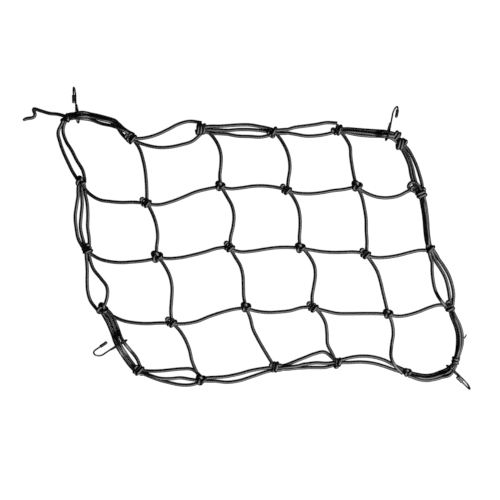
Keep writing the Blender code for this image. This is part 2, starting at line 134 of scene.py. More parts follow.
KNOTS = {
    "A0": Knot(-211.2, 141.8, 111, WOUND, (Bight(-1.0, 5.0),), 2.0, 11.4, -1.2),
    "A1": Knot(-133.5, 117.0, 64, WOUND, (Bight(-1.5, 5.0), Bight(3.0, 4.6), Bight(0.0, 8.2)),
               2.0, 13.0, -0.2),
    "A2": Knot(-51.3, 129.0, 93, BANDED, (), 3.0, 14.0, -1.3),
    "A3": Knot(31.5, 126.0, 76, WOUND, (Bight(-2.0, 4.8), Bight(-3.5, 2.4), Bight(-5.0, -0.3)),
               1.0, 13.4, -0.8),
    "A4": Knot(107.5, 128.0, 82, WOUND, (Bight(-1.0, 5.4),), 2.0, 14.0, -1.9),
    "A5": Knot(176.7, 119.8, 60, BANDED, (), 2.0, 13.4, -1.2, (-0.5, 1.0)),
    "F5": Knot(181.0, 110.5, 85, BANDED, (Bight(2.6, -4.6, 1.8, 6.4),),
               2.0, 15.4, -1.7, (0.0, 1.0)),
    "B0": Knot(-194.5, 67.5, 40, TREFOIL, (), width=14.2, aside=(-0.6, 0.2)),
    "B1": Knot(-118.4, 42.3, 61),
    "B2": Knot(-30.5, 61.5, 57, TREFOIL, (), width=13.8, aside=(-0.8, 0.9)),
    "B3": Knot(46.5, 57.5, 56),
    "B4": Knot(129.0, 63.0, 54, TREFOIL, (), width=15.2, aside=(0.4, -0.5)),
    "B5": Knot(206.0, 53.2, 27, BANDED, (Bight(4.6, 3.0), Bight(-6.0, 9.4, 2.0, 5.6)),
               2.0, 13.4, -2.7, (-1.0, -0.2)),
    "C0": Knot(-187.0, -13.6, 25, WOUND, (Bight(2.4, 5.0),), 2.0, 12.8, -1.3),
    "C1": Knot(-106.0, -20.5, 63, TREFOIL, (), width=16.4, aside=(0.2, -0.1)),
    "C2": Knot(-20.5, -10.0, 48),
    "C3": Knot(63.0, -10.5, 63, TREFOIL, (), width=14.2, aside=(-0.2, 0.3)),
    "C4": Knot(139.5, -18.0, 54),
    "C5": Knot(216.5, -13.5, 53, WOUND, (Bight(1.3, 5.2),), 1.0, 13.0, 0.6, (0.6, 0.8)),
    "D0": Knot(-170.0, -82.5, 30, TREFOIL, (), width=16.0, aside=(0.3, 0.3)),
    "D1": Knot(-88.5, -98.5, 60),
    "D2": Knot(-0.5, -81.0, 62, TREFOIL, (), width=14.0, aside=(-0.5, 1.1)),
    "D3": Knot(77.5, -80.5, 58, front=-3.2),
    "D4": Knot(166.5, -88.5, 60, TREFOIL, (), width=13.6, aside=(-0.4, 0.7)),
    "D5": Knot(239.5, -81.0, 28, WOUND, (Bight(1.6, 5.8),), 2.0, 12.0, -2.0, (-1.0, 0.0)),
    "E0": Knot(-125.5, -155.5, 54, WOUND, (Bight(1.0, 5.6),), 2.0, 14.4, 0.0),
    "E1": Knot(-53.0, -166.0, 65, TREFOIL, (), width=14.4, aside=(-0.6, 0.4)),
    "E2": Knot(34.5, -151.5, 88, WOUND, (Bight(2.0, 5.0),), 2.0, 13.8, -0.8, (0.0, 0.8)),
    "E3": Knot(105.5, -145.5, 97, WOUND, (Bight(-4.2, 0.6),), 2.0, 11.4, -3.8),
    "E4": Knot(189.5, -157.5, 63, TREFOIL, (), width=11.8, aside=(-0.6, 0.8)),
    "E5": Knot(245.5, -143.5, 170, BANDED, (), 2.0, 9.6, -2.0),
}

COLUMN_STRANDS = (
    Strand("A1", "B1", (0.5, 5.3, 6.7, 6.7, 5.5, 3.6, 1.0)),
    Strand("B1", "C1", (1.0, 4.3, 6.4, 6.9, 5.7, 2.3, 0.2)),
    Strand("C1", "D1", (1.5, 7.0, 10.2, 9.8, 6.3, 2.4, 0.5)),
    Strand("D1", "E1", (0.5, 4.2, 5.2, 3.9, 0.6, -0.7, -0.5)),
    Strand("A2", "B2", (2.0, 8.5, 11.6, 11.3, 7.6, 2.6, 0.5)),
    Strand("B2", "C2", (0.5, 5.5, 10.0, 10.8, 8.2, 3.6, 0.6)),
    Strand("C2", "D2", (0.5, 3.5, 6.8, 6.5, 3.6, 0.7, 0.0)),
    Strand("D2", "E2", (0.0, -1.1, -3.9, -4.0, -3.3, -2.2, -1.0)),
    Strand("A3", "B3", (1.5, 7.0, 10.5, 11.5, 9.8, 5.4, 1.5)),
    Strand("B3", "C3", (1.5, 6.7, 9.0, 8.4, 5.7, 2.0, 0.0)),
    Strand("C3", "D3", (2.5, 8.7, 12.1, 11.0, 6.7, 2.1, 0.5)),
    Strand("D3", "E3", (2.0, 5.9, 6.8, 3.5, -0.8, -0.2, 0.0)),
    Strand("A4", "B4", (1.5, 5.5, 7.5, 4.7, 2.6, 1.0, 0.0)),
    Strand("B4", "C4", (0.5, 4.8, 6.2, 6.5, 5.0, 4.0, 1.5)),
    Strand("C4", "D4", (0.5, 4.2, 6.1, 5.3, 3.5, 1.9, 0.0)),
    Strand("D4", "E4", (1.0, 1.1, -1.5, -7.6, -12.8, -11.5, -5.5), (0, 0, 0, 0, 1, 1, 0)),
)

ROW_STRANDS = (
    Strand("B0", "B1", (-2.5, -10.6, -13.7, -11.7, -8.4, -3.7, -0.5)),
    Strand("B1", "B2", (-1.5, -5.5, -5.0, -2.7, 0.0, 0.5, 0.0)),
    Strand("B2", "B3", (-1.0, -2.0, 0.0, 2.5, 3.4, 2.6, 0.5)),
    Strand("B3", "B4", (-1.0, -4.8, -6.4, -6.0, -4.5, -3.8, -1.5)),
    Strand("B4", "B5", (-2.0, -7.5, -10.5, -9.9, -5.7, 2.3, 1.0)),
    Strand("C0", "C1", (-1.5, -8.5, -11.0, -11.0, -9.0, -6.5, -2.5)),
    Strand("C1", "C2", (-1.5, -4.6, -5.1, -3.9, -2.0, 0.5, 0.6)),
    Strand("C2", "C3", (-2.0, -5.3, -4.3, -2.0, -0.1, 0.4, -0.3)),
    Strand("C3", "C4", (-0.5, -1.3, -2.1, -1.8, -0.4, 1.2, 1.0)),
    Strand("C4", "C5", (-1.5, -4.9, -5.2, -3.9, -1.4, 0.6, 0.0)),
    Strand("D0", "D1", (-1.5, -5.9, -8.9, -8.7, -6.8, -3.4, -0.5)),
    Strand("D1", "D2", (-1.5, -4.5, -4.7, -1.9, 0.0, 0.9, 0.0)),
    Strand("D2", "D3", (-1.0, -4.4, -5.9, -5.4, -4.0, -0.5, 0.5)),
    Strand("D3", "D4", (0.0, -2.8, -4.7, -3.7, -2.2, -0.9, 0.0)),
    Strand("D4", "D5", (-1.0, -4.0, -3.5, -1.0, 2.5, 4.5, 2.0)),
)

BORDER_STRANDS = (
    Strand("A0", "A1", (3.0, 11.3, 13.5, 14.6, 14.3, 8.5, 5.0)),
    Strand("A0", "A1", (0.5, 4.0, 6.8, 6.4, 7.4, 6.6, 3.0), (0, 0, 0, 0, 1, 1, 0)),
    Strand("A0", "A1", (1.5, 6.5, 10.2, 11.0, 11.2, 1.5, -5.5), (0, 0.7, 0.8, 0.8, 0.2, 0, 0)),
    Strand("A1", "A2", (0.5, -0.3, 1.3, 5.3, 10.0, 11.4, 7.5)),
    Strand("A1", "A2", (-1.5, -8.7, -13.6, -15.2, -14.4, -12.0, -3.0)),
    Strand("A2", "A3", (1.0, 3.5, 5.0, 6.5, 7.0, 5.0, 1.5)),
    Strand("A2", "A3", (0.0, -0.5, -0.5, 1.0, 1.5, 1.0, 0.5)),
    Strand("A2", "A3", (-1.5, -3.7, -4.6, -6.6, -6.6, -6.7, -3.0)),
    Strand("A3", "A4", (0.5, 1.2, 4.4, 5.8, 7.2, 9.0, 8.0)),
    Strand("A3", "A4", (-0.5, -1.2, -3.5, -6.0, -6.0, -4.3, -1.0)),
    Strand("A4", "A5", (1.0, 2.8, 3.3, 3.8, 4.4, 4.4, 2.5)),
    Strand("A4", "A5", (0.0, -0.2, 0.0, 0.2, 0.0, 0.0, 0.0), (0, 0.7, 0.7, 0.7, 0.7, 0.7, 0)),
    Strand("A4", "F5", (-0.5, -0.4, 0.1, 1.9, 4.3, 5.0, 0.5)),
    Strand("A5", "B5", (-0.5, -0.3, 0.6, 0.2, -2.6, -3.8, -2.0)),
    Strand("F5", "B5", (1.5, 2.9, 3.0, 2.1, 0.0, -1.0, 0.0)),
    Strand("F5", "B5", (3.0, 6.3, 7.6, 7.6, 6.6, 5.0, 1.5)),
    Strand("B5", "C5", (-1.5, -1.6, -1.4, -1.9, -2.8, -3.0, -1.5)),
    Strand("B5", "C5", (0.0, 0.4, 0.4, 0.2, -0.4, -0.8, -0.5), (0, 0.7, 0.7, 0.8, 0.8, 0.8, 0)),
    Strand("B5", "C5", (1.5, 2.7, 2.6, 2.0, 0.8, 0.4, 0.5)),
    Strand("C5", "D5", (-0.5, -2.2, -6.0, -8.7, -9.8, -8.0, -3.0), (0, 0, 0, 0, 0, 1, 0)),
    Strand("C5", "D5", (1.5, 5.4, 9.0, 11.0, 10.8, 8.6, 2.5)),
    Strand("C5", "D5", (0.5, 1.0, 4.0, 6.0, 5.5, 3.5, 1.0)),
    Strand("D5", "E5", (1.0, 5.0, 9.0, 11.0, 10.5, 7.0, 2.0)),
    Strand("D5", "E5", (0.0, 3.0, 6.0, 7.5, 7.0, 4.5, 0.5), (0, 1, 1, 1, 1, 1, 0)),
    Strand("D5", "E5", (-0.5, 0.8, 3.9, 5.6, 5.0, 3.0, -0.5)),
    Strand("E4", "E5", (-3.0, -10.2, -14.4, -15.4, -15.2, -14.0, -4.0)),
    Strand("E4", "E5", (-1.5, -7.0, -11.2, -12.2, -11.2, -9.0, -1.5), (0, 1, 1, 1, 1, 1, 0)),
    Strand("E4", "E5", (0.5, -4.3, -8.4, -9.6, -8.3, -5.8, 0.0)),
    Strand("E3", "E4", (1.0, 7.5, 11.5, 12.5, 10.5, 5.5, 1.5)),
    Strand("E3", "E4", (0.0, 1.9, 4.5, 5.2, 3.5, 0.7, -1.2)),
    Strand("E2", "E3", (0.5, 1.9, 5.4, 9.0, 12.4, 13.0, 1.5)),
    Strand("E2", "E3", (-0.5, -0.3, -0.2, 1.0, 1.5, 0.0, -0.5), (0, 0.6, 0.6, 0, 0, 0, 0)),
    Strand("E2", "E3", (-1.0, -3.0, -2.8, -3.0, -4.0, -4.6, -1.5)),
    Strand("E1", "E2", (1.0, 0.3, -0.9, -0.4, 1.2, 1.4, 0.5)),
    Strand("E1", "E2", (-0.5, -3.8, -7.8, -8.2, -6.0, -3.5, -1.5)),
    Strand("E0", "E1", (0.5, 1.6, 3.6, 6.6, 9.5, 10.5, 3.0)),
    Strand("E0", "E1", (-0.5, -2.8, -4.8, -3.8, -1.2, -1.3, -1.0), (0, 1, 1, 0.5, 0, 0, 0)),
    Strand("E0", "E1", (-1.5, -4.8, -7.4, -8.7, -9.4, -7.8, -2.5)),
    Strand("D0", "E0", (0.5, -0.4, -4.0, -7.0, -7.8, -7.0, -4.2)),
    Strand("D0", "E0", (0.5, 1.0, -0.5, -3.1, -3.6, -3.0, -1.5)),
    Strand("D0", "E0", (1.5, 4.2, 3.8, 1.8, 2.8, 4.4, 2.0)),
    Strand("C0", "D0", (-1.0, -4.0, -6.3, -9.4, -11.5, -10.8, -5.5)),
    Strand("C0", "D0", (0.0, 0.0, 1.5, 7.0, 11.6, 9.0, 1.5)),
    Strand("B0", "C0", (-1.5, -4.5, -8.0, -11.0, -11.0, -9.5, -3.0)),
    Strand("B0", "C0", (-0.5, -1.0, -1.5, -4.0, -6.0, -4.5, -1.0)),
    Strand("B0", "C0", (1.5, 3.0, 4.5, 4.0, 2.5, 3.0, 2.0)),
    Strand("A0", "B0", (-2.5, -13.5, -14.3, -12.9, -10.3, -7.2, -2.5)),
    Strand("A0", "B0", (-1.5, -7.8, -7.3, -3.0, 0.2, 4.4, 4.6)),
)

# Short free runs of cord: x, y and height of the points they pass through
TAIL = ((-213.0, 144.0, 4.4), (-222.0, 146.5, 3.0), (-231.5, 147.5, 2.4), (-242.0, 150.5, 2.4),
        (-249.8, 153.0, 2.5), (-250.6, 151.2, 2.5), (-249.0, 147.0, 2.4), (-249.6, 144.0, 2.4),
        (-253.0, 142.2, 2.4), (-258.0, 141.6, 2.4), (-263.2, 139.6, 2.4))
LOOP_OVER = ((192.0, 58.0, 3.0), (190.5, 62.0, 3.4), (193.5, 66.2, 4.2), (198.0, 66.4, 4.6),
             (202.0, 62.5, 4.6), (205.0, 57.0, 4.5))
LOOP_UNDER = ((191.5, 58.5, 3.0), (197.0, 56.0, 2.8), (202.0, 54.0, 3.0), (206.0, 53.0, 4.0))
CUT_END = ((252.6, -115.0, 3.4), (256.0, -117.0, 3.6), (258.8, -112.4, 3.8))


def smooth(values: Sequence[float], place: float) -> float:
    """Read a row of values on a smooth curve through them all.

    Args:
        values: The row, at equal steps.
        place: Where to read it, from 0 at its start to 1 at its end.

    Returns:
        The value there.
    """
    steps = len(values) - 1
    at = min(max(place, 0.0), 1.0) * steps
    left = min(int(at), steps - 1)
    t = at - left
    a, b = values[left], values[left + 1]
    before = values[left - 1] if left > 0 else 2 * a - b
    after = values[left + 2] if left + 2 <= steps else 2 * b - a
    return 0.5 * (2 * a + (b - before) * t + (2 * before - 5 * a + 4 * b - after) * t ** 2
                  + (3 * a - before - 3 * b + after) * t ** 3)


def smooth_route(points: Sequence[Sequence[float]], steps: int) -> list[Vector]:
    """Points at equal steps on a smooth curve through a few given ones."""
    rows = tuple(zip(*points))
    return [Vector([smooth(row, i / steps) for row in rows]) for i in range(steps + 1)]


def rounded_wave(value: float, squareness: float) -> float:
    """A sine or cosine made squarer, as cord drawn tight round a bundle lies."""
    return math.copysign(abs(value) ** squareness, value)


def linked(name: str, data: bpy.types.ID) -> bpy.types.Object:
    """A new object with this data, in the scene."""
    made = bpy.data.objects.new(name, data)
    bpy.context.scene.collection.objects.link(made)
    return made


class Shade:
    """A value in a material's tree. A sum or product of shades adds a Math node."""

    def __init__(self, tree: "MaterialTree", socket: bpy.types.NodeSocket) -> None:
        """Wrap an output socket of a tree's node."""
        self.tree = tree
        self.socket = socket

    def __add__(self, other: "Value") -> "Shade":
        """This and another value, added."""
        return self.tree.maths("ADD", self, other)

    def __sub__(self, other: "Value") -> "Shade":
        """Another value taken from this one."""
        return self.tree.maths("SUBTRACT", self, other)

    def __rsub__(self, other: "Value") -> "Shade":
        """This taken from another value."""
        return self.tree.maths("SUBTRACT", other, self)

    def __mul__(self, other: "Value") -> "Shade":
        """This and another value, multiplied."""
        return self.tree.maths("MULTIPLY", self, other)

    __radd__ = __add__
    __rmul__ = __mul__


Value = Union[Shade, float]


class MaterialTree:
    """The node tree of one new material, with short ways to add nodes to it."""

    def __init__(self, name: str) -> None:
        """Start a material of this name with an empty tree."""
        self.material = bpy.data.materials.new(name)
        self.material.use_nodes = True
        self.tree = self.material.node_tree
        self.tree.nodes.clear()

    def node(self, kind: str, settings: dict[str, Any], values: dict[Any, Any],
             output: Union[str, int, None] = None) -> Shade:
        """Add a node.

        Args:
            kind: The node's type.
            settings: Its own settings, by name, which are set first.
            values: A constant or a shade for each input, by name or number.
            output: Which output to hand back, or None for the first that is in use.

        Returns:
            That output.
        """
        made = self.tree.nodes.new(kind)
        for name, value in settings.items():
            setattr(made, name, value)
        for key, value in values.items():
            if isinstance(value, Shade):
                self.tree.links.new(value.socket, made.inputs[key])
            else:
                made.inputs[key].default_value = value
        if output is None:
            return Shade(self, next((socket for socket in made.outputs if socket.enabled), None))
        return Shade(self, made.outputs[output])

    def maths(self, operation: str, first: Value, second: Value = 0.0) -> Shade:
        """The result of a Math node."""
        return self.node("ShaderNodeMath", {"operation": operation}, {0: first, 1: second})

    def blend(self, share: Value, first: Union[Shade, Colour],
              second: Union[Shade, Colour]) -> Shade:
        """A colour between two others."""
        return self.node("ShaderNodeMix", {"data_type": "RGBA"}, {0: share, 6: first, 7: second})

    def measured(self, name: str, output: str) -> Shade:
        """An attribute that the piece's mesh carries."""
        return self.node("ShaderNodeAttribute", {"attribute_name": name}, {}, output)

    def part(self, vector: Shade, axis: str) -> Shade:
        """One part of a vector."""
        return self.node("ShaderNodeSeparateXYZ", {}, {0: vector}, axis)

    def clouds(self, scale: float, detail: float = 2.0, vector: Union[Shade, None] = None) -> Shade:
        """Soft noise from 0 to 1, by default on the object's own coordinates.

        Args:
            scale: Cycles of it in a metre.
            detail: How many finer layers it has.
            vector: Other coordinates to read it on.

        Returns:
            The noise.
        """
        where = vector or self.node("ShaderNodeTexCoord", {}, {}, "Object")
        return self.node("ShaderNodeTexNoise", {},
                         {"Vector": where, "Scale": scale, "Detail": detail})

    def eased(self, value: Shade, low: float, high: float) -> Shade:
        """A value taken smoothly from 0 at low to 1 at high."""
        return self.node("ShaderNodeMapRange", {"interpolation_type": "SMOOTHSTEP"},
                         {"Value": value, "From Min": low, "From Max": high})

    def relief(self, height: Shade, strength: float, depth: float) -> Shade:
        """A normal raised by a height from 0 to 1, which stands for a depth in metres."""
        return self.node("ShaderNodeBump", {},
                         {"Height": height, "Strength": strength, "Distance": depth})

    def finished(self, values: dict[str, Any]) -> bpy.types.Material:
        """Close the tree with a Principled shader of these values, and hand back its material."""
        shader = self.node("ShaderNodeBsdfPrincipled", {}, values)
        self.node("ShaderNodeOutputMaterial", {}, {"Surface": shader})
        return self.material


@dataclass(frozen=True)
class BraidedSheath:
    """Black polyester braided over elastic: yarns cross in two families round the cord; their gaps
    hold painted shade.
    """

    name: str = "elastic_cord"
    carriers: int = 8
    yarn_run: float = 1.65 * MM
    yarn: Colour = (0.0025, 0.0025, 0.0025, 1.0)
    worn_yarn: Colour = (0.005, 0.005, 0.005, 1.0)
    # painted shade: the colour that the gaps between the yarns darken to
    painted_gap_shade: Colour = (0.0005, 0.0005, 0.0005, 1.0)
    roughness: float = 0.16
    gap_roughness: float = 0.15
    fibre_roughness: float = 0.08
    specular: float = 0.55
    under_share: float = 0.45
    gap_shade_falloff: float = 0.6
    yarn_depth: float = 0.28 * MM
    relief_strength: float = 0.30
    fibre_relief: float = 0.10
    patch_scale: float = 30.0
    fibre_scale: float = 2600.0

    def material(self) -> bpy.types.Material:
        """Build the material."""
        tree = MaterialTree(self.name)
        side = tree.measured("side", "Vector")
        turn = tree.maths("ARCTAN2", tree.part(side, "Y"), tree.part(side, "X"))
        turn = turn * (self.carriers / math.tau)
        run = tree.measured("along", "Fac") * (1 / self.yarn_run)
        right, left = turn + run, turn - run
        right_part, left_part = tree.maths("FRACT", right), tree.maths("FRACT", left)
        right_ridge, left_ridge = self.ridge(right_part), self.ridge(left_part)
        over = tree.maths("PINGPONG", (right - right_part) + (left - left_part), 1.0)
        top = right_ridge * over + left_ridge * (1 - over)
        dip = left_ridge * over + right_ridge * (1 - over)
        yarns = top * (dip * self.under_share + (1 - self.under_share))
        fibres = tree.clouds(self.fibre_scale, 1.0)
        worn = tree.blend(tree.clouds(self.patch_scale), self.yarn, self.worn_yarn)
        # the base colour darkens from the yarns' backs into the gaps between them: painted shade
        gap = tree.maths("POWER", yarns, self.gap_shade_falloff)
        uneven = (1 - yarns) * self.gap_roughness
        return tree.finished({
            "Base Color": tree.blend(gap, self.painted_gap_shade, worn),
            "Roughness": self.roughness + uneven + (fibres - 0.5) * self.fibre_roughness,
            "Specular IOR Level": self.specular,
            "Normal": tree.relief(yarns + fibres * self.fibre_relief, self.relief_strength,
                                  self.yarn_depth),
        })

    @staticmethod
    def ridge(part: Shade) -> Shade:
        """The round back of a yarn, from the place across it."""
        off = part * 2.0 - 1.0
        return 1 - off * off


@dataclass(frozen=True)
class DarkenedWire:
    """Round spring steel with a dark finish, drawn lines along it, and brighter rubbed places."""

    name: str = "hook_wire"
    steel: Colour = (0.015, 0.015, 0.016, 1.0)
    rubbed: Colour = (0.060, 0.060, 0.062, 1.0)
    roughness: float = 0.27
    line_roughness: float = 0.25
    line_depth: float = 0.03 * MM
    relief_strength: float = 0.5
    lines_along: float = 25.0
    line_scale: float = 9.0
    patch_scale: float = 160.0
    rubbed_from: float = 0.42
    rubbed_to: float = 0.70

    def material(self) -> bpy.types.Material:
        """Build the material."""
        tree = MaterialTree(self.name)
        side = tree.measured("side", "Vector")
        lines_at = tree.node("ShaderNodeCombineXYZ", {}, {
            "X": tree.part(side, "X"),
            "Y": tree.part(side, "Y"),
            "Z": tree.measured("along", "Fac") * self.lines_along,
        })
        lines = tree.clouds(self.line_scale, 3.0, lines_at)
        patches = tree.clouds(self.patch_scale, 3.0)
        return tree.finished({
            "Base Color": tree.blend(tree.eased(patches, self.rubbed_from, self.rubbed_to),
                                     self.steel, self.rubbed),
            "Metallic": 1.0,
            "Roughness": self.roughness + (lines - 0.5) * self.line_roughness,
            "Normal": tree.relief(lines, self.relief_strength, self.line_depth),
        })


@dataclass(frozen=True)
class DippedPlastic:
    """Soft black plastic with the faint orange peel of a dipped coat."""

    name: str = "sleeve_plastic"
    colour: Colour = (0.010, 0.010, 0.011, 1.0)
    scuffed: Colour = (0.045, 0.045, 0.046, 1.0)
    roughness: float = 0.30
    scuff_roughness: float = 0.25
    coat: float = 0.15
    coat_roughness: float = 0.2
    peel_depth: float = 0.05 * MM
    relief_strength: float = 0.4
    peel_scale: float = 900.0
    scuff_scale: float = 420.0
    scuffed_from: float = 0.52
    scuffed_to: float = 0.74

    def material(self) -> bpy.types.Material:
        """Build the material."""
        tree = MaterialTree(self.name)
        peel = tree.clouds(self.peel_scale)
        scuffs = tree.eased(tree.clouds(self.scuff_scale, 4.0), self.scuffed_from, self.scuffed_to)
        return tree.finished({
            "Base Color": tree.blend(scuffs, self.colour, self.scuffed),
            "Roughness": self.roughness + scuffs * self.scuff_roughness,
            "Coat Weight": self.coat,
            "Coat Roughness": self.coat_roughness,
            "Normal": tree.relief(peel, self.relief_strength, self.peel_depth),
        })


@dataclass(frozen=True)
class BrightFloor:
    """A pale floor that glows a little, so what stands on it has only a faint shadow."""

    name: str = "pale_floor"
    colour: Colour = (0.98, 0.98, 0.98, 1.0)
    bounced: Colour = (0.04, 0.04, 0.04, 1.0)
    glow: float = 1.0
    roughness: float = 0.8

    def material(self) -> bpy.types.Material:
        """Build the material."""
        tree = MaterialTree(self.name)
        return tree.finished({
            "Base Color": self.bounced,
            "Roughness": self.roughness,
            "Specular IOR Level": 0.0,
            "Emission Color": self.colour,
            "Emission Strength": self.glow,
        })


class SweepTree:
    """A Geometry Nodes tree that lays a round section along every spline of a curve.

    The mesh it makes carries two attributes for the finishes: `side`, which points from the
    middle of the cord to its surface in the section's own plane, and `along`, the length from
    the start of the cord in metres.
    """

    def __init__(self) -> None:
        """Build the tree and its named inputs."""
        self.tree = bpy.data.node_groups.new("round_sweep", "GeometryNodeTree")
        face = self.tree.interface
        face.new_socket("Geometry", in_out="OUTPUT", socket_type="NodeSocketGeometry")
        face.new_socket("Geometry", in_out="INPUT", socket_type="NodeSocketGeometry")
        for name, kind in (("Diameter", "Float"), ("Step", "Float"), ("Sides", "Int"),
                           ("Material", "Material")):
            face.new_socket(name, in_out="INPUT", socket_type=f"NodeSocket{kind}")
        given = self._node("NodeGroupInput").outputs
        run = self._node("GeometryNodeResampleCurve", {"mode": "LENGTH"},
                         {"Curve": given["Geometry"], "Length": given["Step"]})
        length = self._node("GeometryNodeSplineParameter").outputs["Length"]
        run = self._node("GeometryNodeStoreNamedAttribute", {"data_type": "FLOAT"},
                         {"Geometry": run.outputs[0], "Name": "along", "Value": length})
        ring = self._node("GeometryNodeCurvePrimitiveCircle", {},
                          {"Resolution": given["Sides"], "Radius": 1.0})
        place = self._node("GeometryNodeInputPosition").outputs[0]
        ring = self._node("GeometryNodeStoreNamedAttribute", {"data_type": "FLOAT_VECTOR"},
                          {"Geometry": ring.outputs[0], "Name": "side", "Value": place})
        radius = self._node("GeometryNodeInputRadius").outputs[0]
        half = self._node("ShaderNodeMath", {"operation": "MULTIPLY"},
                          {0: given["Diameter"], 1: 0.5})
        scale = self._node("ShaderNodeMath", {"operation": "MULTIPLY"},
                           {0: half.outputs[0], 1: radius})
        skin = self._node("GeometryNodeCurveToMesh", {},
                          {"Curve": run.outputs[0], "Profile Curve": ring.outputs[0],
                           "Scale": scale.outputs[0], "Fill Caps": True})
        skin = self._node("GeometryNodeSetShadeSmooth", {}, {0: skin.outputs[0]})
        skin = self._node("GeometryNodeRealizeInstances", {}, {0: skin.outputs[0]})
        skin = self._node("GeometryNodeSetMaterial", {},
                          {"Geometry": skin.outputs[0], "Material": given["Material"]})
        self._node("NodeGroupOutput", {}, {0: skin.outputs[0]})

    def _node(self, kind: str, settings: Union[dict[str, Any], None] = None,
              values: Union[dict[Any, Any], None] = None) -> bpy.types.Node:
        """Add a node with its settings first, then a constant or a link for each input."""
        made = self.tree.nodes.new(kind)
        for name, value in (settings or {}).items():
            setattr(made, name, value)
        for key, value in (values or {}).items():
            if isinstance(value, bpy.types.NodeSocket):
                self.tree.links.new(value, made.inputs[key])
            else:
                made.inputs[key].default_value = value
        return made

    def swept(self, name: str, runs: Sequence[Run], diameter: float, step: float, sides: int,
              finish: bpy.types.Material) -> bpy.types.Object:
        """Sweep a round section along runs of cord or wire.

        Args:
            name: The piece's name.
            runs: What to follow, in the tables' frame and millimetres.
            diameter: Of the cord or wire, in millimetres.
            step: The length of one ring of faces, in millimetres.
            sides: How many sides the section has.
            finish: The piece's material.

        Returns:
            A plain mesh object at the origin.
        """
        curve = bpy.data.curves.new(name, "CURVE")
        curve.dimensions = "3D"
        for run in runs:
            spline = curve.splines.new("POLY")
            spline.points.add(len(run.points) - 1)
            spline.use_cyclic_u = run.closed
            for i, (slot, point) in enumerate(zip(spline.points, run.points)):
                slot.co = (*((point - CENTRE) * MM), 1.0)
                slot.radius = smooth(run.shares, i / (len(run.points) - 1)) if run.shares else 1.0
        path = linked(name, curve)
        sweep = path.modifiers.new("sweep", "NODES")
        sweep.node_group = self.tree
        given = {"Diameter": diameter * MM, "Step": step * MM, "Sides": sides, "Material": finish}
        for item in self.tree.interface.items_tree:
            if item.in_out == "INPUT" and item.name in given:
                sweep[item.identifier] = given[item.name]
        shape = path.evaluated_get(bpy.context.evaluated_depsgraph_get())
        mesh = bpy.data.meshes.new_from_object(shape)
        bpy.data.objects.remove(path)
        mesh.name = name
        return linked(name, mesh)


